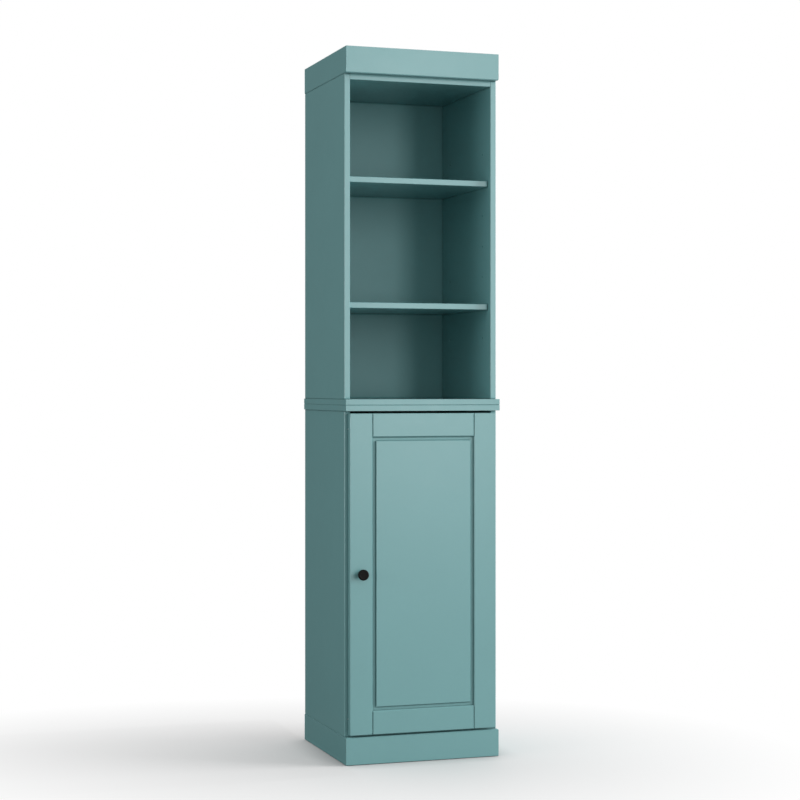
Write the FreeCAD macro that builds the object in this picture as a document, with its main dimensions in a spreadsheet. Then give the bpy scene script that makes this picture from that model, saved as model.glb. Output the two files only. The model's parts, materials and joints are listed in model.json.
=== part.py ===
import FreeCAD, Part
import math
import os
import re
import Sketcher

# Tall two-unit bathroom cabinet: a lower cupboard with one hinged door, and an open hutch with two shelves.
# Millimetres. +X right, -Y front, +Z up. The origin is on the floor, under the centre of the overall box.

doc = FreeCAD.newDocument("tall_cabinet")

# Driving sizes: alias, value, meaning
SIZES = [
    ("board", 15, "thickness of the carcass boards and shelves"),
    ("edge_ease", 1, "bevel that eases the outer edges of the boards"),
    ("fascia_bevel", 2, "bevel where the plinth and the cornice meet the carcass"),
    ("carcass_width", 418, "outside width over the two sides"),
    ("carcass_depth", 375, "depth of the sides, back panel included"),
    ("lower_height", 840, "height of the lower cupboard's sides"),
    ("hutch_height", 840, "height of the hutch's sides"),
    ("back_panel", 3, "thickness of the back panels"),
    ("back_lap", 8, "width of the rebate that holds a back panel"),
    ("back_play", 0.5, "side play of a back panel in its rebates"),
    ("fascia_board", 18, "thickness of the plinth and cornice boards, and their front overhang"),
    ("fascia_overhang", 1, "overhang of plinth and cornice at each side"),
    ("plinth_height", 70, "height of the plinth boards"),
    ("cornice_height", 68.5, "height of the cornice boards"),
    ("block_leg", 40, "leg of the glue blocks in the corners"),
    ("block_height", 50, "height of the glue blocks"),
    ("glide_diameter", 16, "diameter of the floor glides"),
    ("glide_height", 1.5, "height of the floor glides"),
    ("glide_setback", 40, "distance of a glide from the front or rear of the carcass"),
    ("band_side_overhang", 2.5, "overhang of the two mid-height boards at each side"),
    ("band_front_overhang", 21.5, "overhang of the two mid-height boards at the front"),
    ("shelf_recess", 18, "distance of the hutch shelves behind the carcass front"),
    ("lower_shelf_recess", 30, "distance of the inner shelf behind the carcass front"),
    ("shelf_end_gap", 1, "gap at each end of a shelf"),
    ("shelf_back_gap", 1, "gap between a shelf and the back panel"),
    ("pin_diameter", 5, "diameter of the shelf pins"),
    ("pin_play", 0.2, "play around a shelf pin in its groove"),
    ("pin_hole_clearance", 0.05, "radial clearance of a shelf pin in its hole"),
    ("pin_hole_depth", 10, "depth of the shelf pin holes"),
    ("pin_reach", 8, "length of a shelf pin that stands out of the side"),
    ("pin_groove_depth", 9, "depth of the pin groove in a shelf's end"),
    ("pin_setback", 61, "distance of the pin columns from the carcass front and from its rear"),
    ("pin_pitch", 81.5, "distance between shelf pin holes"),
    ("hutch_pin_row_count", 7, "number of pin holes in a hutch column"),
    ("hutch_first_row", 162.5, "height of the lowest pin hole above the hutch's bottom board"),
    ("middle_shelf_row_count", 1, "pin rows below the middle shelf's own"),
    ("upper_shelf_row_count", 5, "pin rows below the upper shelf's own"),
    ("lower_pin_row_count", 5, "number of pin holes in a cupboard column"),
    ("lower_first_row", 250, "height of the lowest pin hole above the cupboard's bottom board"),
    ("lower_shelf_row_count", 2, "pin rows below the inner shelf's own"),
    ("door_thickness", 18, "thickness of the door's frame"),
    ("door_reveal", 8.5, "strip of the carcass that shows beside the door"),
    ("door_top_gap", 6.5, "gap above the door"),
    ("door_bottom_gap", 6, "gap below the door"),
    ("door_standoff", 4, "distance of the door's back from the carcass front"),
    ("frame_width", 61, "width of the door's stiles and rails"),
    ("groove_setback", 6, "distance of the panel groove from the door's face, and depth of the channel"),
    ("groove_width", 6, "width of the panel groove"),
    ("groove_depth", 9, "depth of the panel groove"),
    ("tongue_play", 0.15, "play of a tongue on each side of its groove"),
    ("panel_play", 1, "room for the panel and the tenons at the bottom of the groove"),
    ("channel_width", 10, "width of the sunk channel around the panel's raised field"),
    ("joint_bevel", 2.2, "bevel along the inner edges of the stiles and rails, and at the rails' ends"),
    ("field_bevel", 1, "bevel around the panel's raised field"),
    ("knob_diameter", 28, "diameter of the knob's head"),
    ("knob_projection", 22, "distance from the door's face to the knob's front"),
    ("knob_head_height", 9, "thickness of the knob's head"),
    ("knob_neck_diameter", 11, "diameter of the knob's neck"),
    ("knob_base_diameter", 17, "diameter of the knob's foot"),
    ("knob_base_height", 2.5, "thickness of the knob's foot"),
    ("knob_edge_round", 2.5, "rounding of the knob's head"),
    ("knob_dish_diameter", 19, "diameter of the shallow dish in the knob's face"),
    ("knob_dish_depth", 0.8, "depth of the dish in the knob's face"),
    ("knob_screw_diameter", 4, "diameter of the knob's screw"),
    ("knob_screw_depth", 10, "depth of the hole in the knob"),
    ("knob_screw_room", 1, "room between the end of the knob's screw and the bottom of its hole"),
    ("knob_screw_head", 8, "diameter of the head of the knob's screw"),
    ("knob_screw_head_height", 2.4, "height of the head of the knob's screw"),
    ("screw_clearance", 0.1, "radial clearance of a screw, dowel or bolt in its hole"),
    ("hinge_end_distance", 100, "distance of a hinge from the door's top or bottom"),
    ("pivot_from_edge", 8, "distance of the hinge axis from the door's edge"),
    ("pivot_from_back", 8, "distance of the hinge axis from the door's back"),
    ("cup_diameter", 35, "diameter of the hinge cup's bore"),
    ("cup_depth", 12, "depth of the hinge cup's bore"),
    ("cup_edge_distance", 20, "distance of the cup's centre from the door's edge"),
    ("cup_clearance", 0.1, "clearance of the cup in its bore"),
    ("cup_wall", 1.5, "wall of the hinge cup"),
    ("cup_bottom", 0.9, "bottom of the hinge cup"),
    ("cup_flange_length", 60, "length of the cup's flange"),
    ("cup_flange_width", 22, "width of the cup's flange"),
    ("cup_flange_shift", 6, "shift of the flange from the cup's centre, away from the door's edge"),
    ("cup_flange_thickness", 1.2, "thickness of the cup's flange"),
    ("cup_rim", 1, "width of the cup's rim on the door's back"),
    ("cup_screw_spacing", 48, "distance between the cup's screws"),
    ("cup_screw_diameter", 3.5, "diameter of the cup's screws"),
    ("cup_screw_length", 10, "length of the cup's screws"),
    ("cup_screw_head", 7, "diameter of the head of the cup's screws"),
    ("cup_screw_head_height", 1.3, "height of the head of the cup's screws"),
    ("hinge_pin_diameter", 2.2, "diameter of the hinge pin"),
    ("hinge_pin_clearance", 0.05, "radial clearance of the hinge pin"),
    ("eye_diameter", 4.8, "outside diameter of the arm's eye"),
    ("arm_width", 10, "width of the hinge arm"),
    ("neck_thickness", 2, "thickness of the arm's bent neck"),
    ("neck_reach", 12, "distance from the hinge axis to the neck's bend"),
    ("neck_round", 2.8, "outside rounding of the neck's bend"),
    ("arm_start", 4, "distance of the arm's body behind the carcass front"),
    ("arm_length", 60, "length of the arm's body"),
    ("arm_wall", 1.5, "wall of the arm's channel"),
    ("plate_thickness", 2, "thickness of the mounting plate"),
    ("plate_length", 50, "height of the mounting plate's wings"),
    ("plate_width", 18, "width of the mounting plate's wings"),
    ("plate_round", 6, "rounding of the corners of the plate's wings"),
    ("plate_setback", 37, "distance of the plate's screws behind the carcass front"),
    ("plate_screw_spacing", 32, "distance between the plate's screws"),
    ("boss_length", 46, "length of the plate's rib inside the arm"),
    ("boss_height", 6, "height of the plate's rib inside the arm"),
    ("boss_play", 0.2, "play of the rib on each side of the arm's channel"),
    ("plate_screw_diameter", 5, "diameter of the plate's screws"),
    ("plate_screw_length", 13, "length of the plate's screws, plate included"),
    ("plate_screw_head", 8, "diameter of the head of the plate's screws"),
    ("plate_screw_head_height", 2, "height of the head of the plate's screws"),
    ("fixing_screw_setback", 16, "distance of the arm's fixing screw behind the plate's screws"),
    ("adjusting_screw_lead", 11, "distance of the arm's adjusting screw in front of the plate's screws"),
    ("arm_screw_diameter", 4, "diameter of the arm's screws"),
    ("arm_screw_head", 7, "diameter of the head of the arm's screws"),
    ("arm_screw_head_height", 2, "height of the head of the arm's screws"),
    ("bumper_diameter", 5.5, "diameter of the door bumpers"),
    ("bumper_gap", 0.3, "gap between a bumper and the closed door"),
    ("bumper_setback", 40, "distance of a bumper from the door's top or bottom"),
    ("connector_setback", 70, "distance of cam locks and dowels from the front and rear of the carcass"),
    ("cam_diameter", 15, "diameter of the cam locks"),
    ("cam_depth", 12, "depth of the cam locks"),
    ("cam_setback", 24, "distance of a cam's centre from the end of its board"),
    ("cam_bolt_diameter", 6, "diameter of the cam bolts"),
    ("cam_bolt_depth", 11, "depth of a cam bolt in the side"),
    ("cam_bolt_tip", 3, "length of a cam bolt short of the cam's centre"),
    ("dowel_diameter", 8, "diameter of the dowels"),
    ("dowel_depth", 11, "depth of a dowel in each of its boards"),
    ("dowel_end_room", 1, "room at each end of a dowel"),
    ("unit_screw_setback", 45, "distance of the joining screws from the sides"),
    ("unit_screw_diameter", 4, "diameter of the screws that join the hutch to the cupboard"),
    ("unit_screw_length", 25, "length of the joining screws"),
    ("unit_screw_head", 8, "diameter of the head of the joining screws"),
    ("unit_screw_head_height", 2.2, "height of the head of the joining screws"),
    ("bracket_width", 32, "width of the wall bracket"),
    ("bracket_thickness", 2, "thickness of the wall bracket"),
    ("bracket_foot", 36, "length of the bracket's foot on the hutch's top board"),
    ("bracket_rise", 46, "height of the bracket's upright leg"),
    ("bracket_round", 8, "rounding of the bracket's corners"),
    ("wall_hole_diameter", 5.5, "diameter of the bracket's hole for the wall screw"),
    ("wall_hole_height", 32, "height of the wall hole above the hutch's top board"),
    ("bracket_screw_spacing", 18, "distance between the bracket's screws"),
    ("bracket_screw_setback", 24, "distance of the bracket's screws from the wall"),
    ("bracket_screw_diameter", 4, "diameter of the bracket's screws"),
    ("bracket_screw_length", 13, "length of the bracket's screws, bracket included"),
    ("bracket_screw_head", 7.5, "diameter of the head of the bracket's screws"),
    ("bracket_screw_head_height", 2, "height of the head of the bracket's screws"),
    ("overrun", 1, "distance by which a cutting shape passes a face"),
]

# Places worked out from the driving sizes: alias, formula
PLACES = [
    ("front_reach", "door_standoff + door_thickness + knob_projection"),
    ("front", "(front_reach - carcass_depth) / 2"),
    ("rear", "front + carcass_depth"),
    ("left", "-carcass_width / 2"),
    ("right", "carcass_width / 2"),
    ("inner_left", "left + board"),
    ("inner_right", "right - board"),
    ("inner_width", "carcass_width - 2 * board"),
    ("inner_depth", "carcass_depth - back_panel"),
    ("fascia_left", "left - fascia_overhang"),
    ("fascia_front", "front - fascia_board"),
    ("fascia_width", "carcass_width + 2 * fascia_overhang"),
    ("fascia_depth", "carcass_depth + fascia_board"),
    ("fascia_inner_left", "fascia_left + fascia_board"),
    ("fascia_inner_right", "fascia_left + fascia_width - fascia_board"),
    ("plinth_base", "glide_height"),
    ("lower_base", "plinth_base + plinth_height"),
    ("lower_floor", "lower_base + board"),
    ("lower_top_base", "lower_base + lower_height"),
    ("hutch_bottom_base", "lower_top_base + board"),
    ("hutch_base", "hutch_bottom_base + board"),
    ("hutch_top_base", "hutch_base + hutch_height - board"),
    ("cornice_base", "hutch_base + hutch_height"),
    ("band_left", "left - band_side_overhang"),
    ("band_front", "front - band_front_overhang"),
    ("band_width", "carcass_width + 2 * band_side_overhang"),
    ("band_depth", "carcass_depth + band_front_overhang"),
    ("rear_pin_setback", "inner_depth - pin_setback"),
    ("rear_connector_setback", "inner_depth - connector_setback"),
    ("lower_first_pin", "board + lower_first_row"),
    ("middle_shelf_height", "hutch_base + hutch_first_row + middle_shelf_row_count * pin_pitch"),
    ("upper_shelf_height", "hutch_base + hutch_first_row + upper_shelf_row_count * pin_pitch"),
    ("lower_shelf_height", "lower_floor + lower_first_row + lower_shelf_row_count * pin_pitch"),
    ("shelf_width", "inner_width - 2 * shelf_end_gap"),
    ("door_left", "left + door_reveal"),
    ("door_width", "carcass_width - 2 * door_reveal"),
    ("door_right", "door_left + door_width"),
    ("door_base", "lower_base + door_bottom_gap"),
    ("door_height", "lower_height - door_bottom_gap - door_top_gap"),
    ("door_back", "front - door_standoff"),
    ("door_front", "door_back - door_thickness"),
    ("groove_back", "groove_setback + groove_width"),
    ("rail_length", "door_width - 2 * frame_width"),
    ("panel_opening_height", "door_height - 2 * frame_width"),
    ("tongue_reach", "groove_depth - panel_play"),
    ("knob_x", "door_left + frame_width / 2"),
    ("knob_z", "door_base + door_height / 2"),
    ("pivot_x", "door_right - pivot_from_edge"),
    ("pivot_y", "door_back - pivot_from_back"),
    ("cup_x", "door_right - cup_edge_distance"),
    ("cup_to_pivot", "cup_edge_distance - pivot_from_edge"),
    ("lower_hinge_z", "door_base + hinge_end_distance"),
    ("upper_hinge_z", "door_base + door_height - hinge_end_distance"),
    ("arm_front", "front + arm_start - pivot_y"),
    ("arm_rear", "arm_front + arm_length"),
    ("arm_outer", "-neck_reach - neck_thickness / 2"),
    ("arm_seat", "inner_right - plate_thickness - pivot_x"),
    ("fixing_screw_y", "front + plate_setback + fixing_screw_setback"),
    ("adjusting_screw_y", "front + plate_setback - adjusting_screw_lead"),
    ("boss_width", "arm_width - 2 * arm_wall - 2 * boss_play"),
    ("bumper_x", "(door_left + inner_left) / 2"),
]


ALIASES = {}
nodes = []


def formula(text):
    """Put the name of its sheet before each alias in a formula."""
    return re.sub(r"[a-z_]+", lambda match: ALIASES.get(match.group(), match.group()), text)


def fill_sheet(name, rows):
    """A sheet with one row per value: its alias, and its number or its formula of earlier values."""
    sheet = doc.addObject("Spreadsheet::Sheet", name)
    for number, row in enumerate(rows, start=1):
        content = "=" + formula(row[1]) if isinstance(row[1], str) else str(row[1])
        sheet.set(f"A{number}", row[0])
        sheet.set(f"B{number}", content)
        sheet.setAlias(f"B{number}", row[0])
    ALIASES.update({row[0]: f"{name}.{row[0]}" for row in rows})
    doc.recompute()


fill_sheet("Sizes", SIZES)
fill_sheet("Places", PLACES)


def bind(thing, prop, text):
    """Bind one property of an object to a formula."""
    thing.setExpression(prop, formula(text))


def put(thing, x, y, z):
    """Bind the place of an object to three formulas."""
    for axis, text in zip("xyz", (x, y, z)):
        bind(thing, f".Placement.Base.{axis}", text)


def turn(thing, axis, degrees):
    """Turn an object about a direction through its own origin."""
    rotation = FreeCAD.Rotation(FreeCAD.Vector(*axis), degrees)
    thing.Placement = FreeCAD.Placement(FreeCAD.Vector(0, 0, 0), rotation)


def keep(thing, label):
    """Register an object as a sub-part under its own name."""
    thing.Label = label
    nodes.append(thing)
    return thing


def new_body(name):
    return doc.addObject("PartDesign::Body", name)


def new_sketch(body, role, lift="0"):
    """A sketch on one of the body's own origin planes, lifted along the plane's normal."""
    sketch = body.newObject("Sketcher::SketchObject", body.Name + "_sketch")
    plane = [item for item in body.Origin.OriginFeatures if item.Role == role][0]
    sketch.AttachmentSupport = [(plane, "")]
    sketch.MapMode = "FlatFace"
    if lift != "0":
        bind(sketch, ".AttachmentOffset.Base.z", lift)
    return sketch


def hold_point(sketch, curve, point, across, up):
    """Hold a point of a curve at two formulas measured from the sketch's origin."""
    for kind, text, axis in (("DistanceX", across, -2), ("DistanceY", up, -1)):
        if text == "0":
            sketch.addConstraint(Sketcher.Constraint("PointOnObject", curve, point, axis))
        else:
            rule = Sketcher.Constraint(kind, -1, 1, curve, point, 1.0)
            number = sketch.addConstraint(rule)
            bind(sketch, f"Constraints[{number}]", text)


def outline(sketch, corners):
    """A closed outline of straight lines through corners given as pairs of formulas."""
    count = len(corners)
    first = sketch.GeometryCount
    turns = [2 * math.pi * index / count for index in range(count + 1)]
    rough = [FreeCAD.Vector(math.cos(angle), math.sin(angle), 0) for angle in turns]
    for index in range(count):
        sketch.addGeometry(Part.LineSegment(rough[index], rough[index + 1]), False)
    for index in range(count):
        following = first + (index + 1) % count
        sketch.addConstraint(Sketcher.Constraint("Coincident", first + index, 2, following, 1))
    for index, (across, up) in enumerate(corners):
        hold_point(sketch, first + index, 1, across, up)


def rectangle(sketch, left, low, right, high):
    outline(sketch, [(left, low), (right, low), (right, high), (left, high)])


def circle(sketch, across, up, diameter):
    """A circle whose centre and diameter are formulas."""
    number = sketch.addGeometry(Part.Circle(FreeCAD.Vector(0, 0, 0), FreeCAD.Vector(0, 0, 1), 1.0), False)
    hold_point(sketch, number, 3, across, up)
    rule = sketch.addConstraint(Sketcher.Constraint("Diameter", number, 1.0))
    bind(sketch, f"Constraints[{rule}]", diameter)


def pad(body, sketch, length, reverse=False):
    """Raise a sketch into a solid along its normal, or against it."""
    feature = body.newObject("PartDesign::Pad", body.Name + "_pad")
    feature.Profile = sketch
    bind(feature, "Length", length)
    feature.Reversed = reverse
    doc.recompute()
    return feature


def pocket(body, sketch, depth, along_normal=False):
    """Cut a sketch into a solid against its normal, or along it, and see that it cuts."""
    before = body.Shape.Volume
    feature = body.newObject("PartDesign::Pocket", body.Name + "_pocket")
    feature.Profile = sketch
    bind(feature, "Length", depth)
    feature.Reversed = along_normal
    doc.recompute()
    if body.Shape.Volume >= before:
        raise RuntimeError(f"{body.Name}: a pocket cuts nothing")
    return feature


def edges_of(body, wanted):
    """Names of the edges of a body's tip for which a test holds."""
    return [f"Edge{number}" for number, edge in enumerate(body.Shape.Edges, start=1) if wanted(edge)]


def dress(body, kind, size_name, size, wanted):
    """Fillet or chamfer the edges of a body for which a test holds."""
    names = edges_of(body, wanted)
    if not names:
        raise RuntimeError(f"{body.Name}: no edge to dress")
    base = body.Tip
    feature = body.newObject(kind, body.Name + "_dressing")
    feature.Base = (base, names)
    bind(feature, size_name, size)
    doc.recompute()
    return feature


def lies_in(edge, axis, place):
    """Whether an edge lies in the plane across an axis at a place."""
    span = edge.BoundBox
    low = getattr(span, axis + "Min")
    high = getattr(span, axis + "Max")
    return max(abs(low - place), abs(high - place)) < Part.Precision.confusion()


def ease(body, *faces, bevel="edge_ease"):
    """Bevel the outer edges of a board, or only those that lie in certain faces of its box, such as ZMax."""
    box = body.Shape.BoundBox
    planes = {axis + end: getattr(box, axis + end) for axis in "XYZ" for end in ("Min", "Max")}

    def wanted(edge):
        held = [name for name, place in planes.items() if lies_in(edge, name[0], place)]
        return len(held) == 2 and set(faces) <= set(held)

    dress(body, "PartDesign::Chamfer", "Size", bevel, wanted)


def rod(name, diameter, length):
    """A plain round rod along its own +Z."""
    shank = doc.addObject("Part::Cylinder", name)
    bind(shank, "Radius", f"({diameter}) / 2")
    bind(shank, "Height", length)
    return shank


def screw(name, diameter, length, head_diameter, head_height):
    """A screw along its own +Z, with the underside of its head at zero."""
    shank = rod(name + "_shank", diameter, length)
    head = rod(name + "_head", head_diameter, head_height)
    bind(head, ".Placement.Base.z", f"0 - {head_height}")
    whole = doc.addObject("Part::Fuse", name)
    whole.Base = shank
    whole.Tool = head
    return whole


def group(label, members):
    """One sub-part made of several separate solids."""
    bundle = doc.addObject("Part::Compound", label)
    bundle.Links = members
    return keep(bundle, label)


def value(name):
    """The number behind an alias."""
    sheet_name = ALIASES[name].split(".")[0]
    return float(getattr(doc.getObject(sheet_name), name))


# Plinth and cornice: boards mitred at the two front corners
def fascia_front(label, base, height, joint_face):
    """The front board of a fascia, bevelled along its joint with the carcass."""
    body = keep(new_body(label), label)
    sketch = new_sketch(body, "XY_Plane")
    outline(sketch, [
        ("0", "0"),
        ("fascia_width", "0"),
        ("fascia_width - fascia_board", "fascia_board"),
        ("fascia_board", "fascia_board"),
    ])
    pad(body, sketch, height)
    ease(body, "YMin", joint_face, bevel="fascia_bevel")
    put(body, "fascia_left", "fascia_front", base)


def fascia_side(label, base, height, joint_face, on_left):
    """A side board of a fascia, bevelled along its joint with the carcass."""
    body = keep(new_body(label), label)
    sketch = new_sketch(body, "XY_Plane")
    if on_left:
        outer, inner, place = "0", "fascia_board", "fascia_left"
    else:
        outer, inner, place = "fascia_board", "0", "fascia_inner_right"
    outline(sketch, [
        (outer, "0"),
        (inner, "fascia_board"),
        (inner, "fascia_depth"),
        (outer, "fascia_depth"),
    ])
    pad(body, sketch, height)
    ease(body, "XMin" if on_left else "XMax", joint_face, bevel="fascia_bevel")
    put(body, place, "fascia_front", base)


def glue_block(name, x, y, base, degrees):
    """A three-cornered block whose square corner sits in a corner of the boards."""
    body = new_body(name)
    sketch = new_sketch(body, "XY_Plane")
    outline(sketch, [("0", "0"), ("block_leg", "0"), ("0", "block_leg")])
    pad(body, sketch, "block_height")
    turn(body, (0, 0, 1), degrees)
    put(body, x, y, base)
    return body


def make_plinth():
    fascia_front("plinth_front", "plinth_base", "plinth_height", "ZMax")
    fascia_side("plinth_left", "plinth_base", "plinth_height", "ZMax", True)
    fascia_side("plinth_right", "plinth_base", "plinth_height", "ZMax", False)

    back = keep(new_body("plinth_back"), "plinth_back")
    sketch = new_sketch(back, "XY_Plane")
    rectangle(sketch, "0", "0", "fascia_width - 2 * fascia_board", "board")
    pad(back, sketch, "plinth_height")
    put(back, "fascia_inner_left", "rear - board", "plinth_base")

    base = "lower_base - block_height"
    group("plinth_corner_blocks", [
        glue_block("plinth_block_a", "fascia_inner_left", "front", base, 0),
        glue_block("plinth_block_b", "fascia_inner_right", "front", base, 90),
        glue_block("plinth_block_c", "fascia_inner_right", "rear - board", base, 180),
        glue_block("plinth_block_d", "fascia_inner_left", "rear - board", base, 270),
    ])

    glides = []
    for x in ("fascia_left + fascia_board / 2", "fascia_inner_right + fascia_board / 2"):
        for y in ("front + glide_setback", "rear - glide_setback"):
            glide = rod("glide", "glide_diameter", "glide_height")
            put(glide, x, y, "0")
            glides.append(glide)
    group("floor_glides", glides)


def make_cornice():
    fascia_front("cornice_front", "cornice_base", "cornice_height", "ZMin")
    fascia_side("cornice_left", "cornice_base", "cornice_height", "ZMin", True)
    fascia_side("cornice_right", "cornice_base", "cornice_height", "ZMin", False)
    group("cornice_corner_blocks", [
        glue_block("cornice_block_a", "fascia_inner_left", "front", "cornice_base", 0),
        glue_block("cornice_block_b", "fascia_inner_right", "front", "cornice_base", 90),
    ])


# Carcass boards
def side_board(label, height, base, on_left):
    """A side with the rebate for the back panel along its rear inner edge."""
    body = keep(new_body(label), label)
    sketch = new_sketch(body, "XY_Plane")
    if on_left:
        corners = [("0", "0"), ("board", "0"), ("board", "inner_depth"), ("board - back_lap", "inner_depth"),
                   ("board - back_lap", "carcass_depth"), ("0", "carcass_depth")]
        place = "left"
    else:
        corners = [("0", "0"), ("board", "0"), ("board", "carcass_depth"), ("back_lap", "carcass_depth"),
                   ("back_lap", "inner_depth"), ("0", "inner_depth")]
        place = "inner_right"
    outline(sketch, corners)
    pad(body, sketch, height)
    put(body, place, "front", base)
    return body


def inner_face_holes(body, on_left, centres, diameter, depth):
    """Blind holes in the inner face of a side, at (depth behind the front, height)."""
    sketch = new_sketch(body, "YZ_Plane", "board" if on_left else "0")
    for across, up in centres:
        circle(sketch, across, up, diameter)
    return sketch, pocket(body, sketch, depth, along_normal=not on_left)


def pin_columns(body, on_left, first_row, rows):
    """Two columns of shelf pin holes up the inner face of a side."""
    centres = [("pin_setback", first_row), ("rear_pin_setback", first_row)]
    diameter = "pin_diameter + 2 * pin_hole_clearance"
    sketch, hole = inner_face_holes(body, on_left, centres, diameter, "pin_hole_depth")
    column = body.newObject("PartDesign::LinearPattern", body.Name + "_pins")
    column.Originals = [hole]
    column.Direction = (sketch, ["V_Axis"])
    bind(column, "Length", f"pin_pitch * ({rows} - 1)")
    bind(column, "Occurrences", rows)
    body.Tip = column
    doc.recompute()


def cam_bolt_holes(body, on_left, height):
    """Holes for the two cam bolts of a board's end."""
    centres = [("connector_setback", height), ("rear_connector_setback", height)]
    inner_face_holes(body, on_left, centres, "cam_bolt_diameter + 2 * screw_clearance", "cam_bolt_depth")


def end_dowel_holes(body, lift, along_normal):
    """Holes for two dowels in the top or bottom end of a side."""
    sketch = new_sketch(body, "XY_Plane", lift)
    for across in ("connector_setback", "rear_connector_setback"):
        circle(sketch, "board / 2", across, "dowel_diameter + 2 * screw_clearance")
    pocket(body, sketch, "dowel_depth + dowel_end_room", along_normal=along_normal)


def back_board(label, height, base):
    body = keep(new_body(label), label)
    sketch = new_sketch(body, "XY_Plane")
    rectangle(sketch, "0", "0", "inner_width + 2 * back_lap - 2 * back_play", "back_panel")
    pad(body, sketch, height)
    put(body, "inner_left - back_lap + back_play", "rear - back_panel", base)


def flat_board(label, width, depth, x, y, z):
    """A level board with its near left lower corner at the given place."""
    body = keep(new_body(label), label)
    sketch = new_sketch(body, "XY_Plane")
    rectangle(sketch, "0", "0", width, depth)
    pad(body, sketch, "board")
    put(body, x, y, z)
    return body


def cam_seats(body, from_above):
    """Cam lock holes near both ends of a board, and the bolt holes that lead to them."""
    sketch = new_sketch(body, "XY_Plane", "board" if from_above else "0")
    for across in ("cam_setback", "inner_width - cam_setback"):
        for up in ("connector_setback", "rear_connector_setback"):
            circle(sketch, across, up, "cam_diameter + 2 * screw_clearance")
    pocket(body, sketch, "cam_depth", along_normal=not from_above)
    for lift, along_normal in (("0", True), ("inner_width", False)):
        bore = new_sketch(body, "YZ_Plane", lift)
        for across in ("connector_setback", "rear_connector_setback"):
            circle(bore, across, "board / 2", "cam_bolt_diameter + 2 * screw_clearance")
        pocket(body, bore, "cam_setback", along_normal=along_normal)


def band_dowel_holes(body, from_above):
    """Dowel holes in a mid-height board, under or over the ends of the two sides."""
    sketch = new_sketch(body, "XY_Plane", "board" if from_above else "0")
    for across in ("band_side_overhang + board / 2", "band_side_overhang + carcass_width - board / 2"):
        for up in ("connector_setback", "rear_connector_setback"):
            circle(sketch, across, f"band_front_overhang + {up}", "dowel_diameter + 2 * screw_clearance")
    pocket(body, sketch, "dowel_depth + dowel_end_room", along_normal=not from_above)


def unit_screw_holes(body, diameter, depth):
    """Holes from below for the four screws that join the two units."""
    sketch = new_sketch(body, "XY_Plane")
    inset = "band_side_overhang + board + unit_screw_setback"
    for across in (inset, f"band_width - ({inset})"):
        for up in ("connector_setback", "rear_connector_setback"):
            circle(sketch, across, f"band_front_overhang + {up}", diameter)
    pocket(body, sketch, depth, along_normal=True)


def shelf(label, recess, mid_height):
    """A shelf with a groove in each end that takes the pins and runs out at the rear."""
    depth = f"inner_depth - {recess} - shelf_back_gap"
    body = flat_board(label, "shelf_width", depth, "inner_left + shelf_end_gap", f"front + {recess}",
                      f"{mid_height} - board / 2")
    groove_half = "(pin_diameter / 2 + pin_play)"
    for lift, along_normal in (("0", True), ("shelf_width", False)):
        sketch = new_sketch(body, "YZ_Plane", lift)
        rectangle(sketch, f"pin_setback - {recess} - {groove_half}", f"board / 2 - {groove_half}",
                  f"{depth} + overrun", f"board / 2 + {groove_half}")
        pocket(body, sketch, "pin_groove_depth", along_normal=along_normal)
    ease(body)


def shelf_pins(name, mid_height):
    """The four pins of one shelf."""
    pins = []
    for x in ("inner_left - pin_hole_depth", "inner_right - pin_reach"):
        for y in ("front + pin_setback", "front + rear_pin_setback"):
            pin = rod(name, "pin_diameter", "pin_hole_depth + pin_reach")
            turn(pin, (0, 1, 0), 90)
            put(pin, x, y, mid_height)
            pins.append(pin)
    return pins


def make_lower_unit():
    for label, on_left in (("lower_left_side", True), ("lower_right_side", False)):
        body = side_board(label, "lower_height", "lower_base", on_left)
        pin_columns(body, on_left, "lower_first_pin", "lower_pin_row_count")
        cam_bolt_holes(body, on_left, "board / 2")
        end_dowel_holes(body, "lower_height", False)
        if not on_left:
            hinge_plate_holes(body)
        ease(body)

    bottom = flat_board("lower_bottom", "inner_width", "inner_depth", "inner_left", "front", "lower_base")
    cam_seats(bottom, from_above=False)
    ease(bottom, "ZMax")
    back_board("lower_back", "lower_height", "lower_base")

    top = flat_board("lower_top", "band_width", "band_depth", "band_left", "band_front", "lower_top_base")
    band_dowel_holes(top, from_above=False)
    unit_screw_holes(top, "unit_screw_head + 2 * screw_clearance", "unit_screw_head_height")
    unit_screw_holes(top, "unit_screw_diameter + 2 * screw_clearance", "board")
    ease(top, "ZMax")

    shelf("lower_shelf", "lower_shelf_recess", "lower_shelf_height")
    group("lower_shelf_pins", shelf_pins("lower_pin", "lower_shelf_height"))


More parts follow.
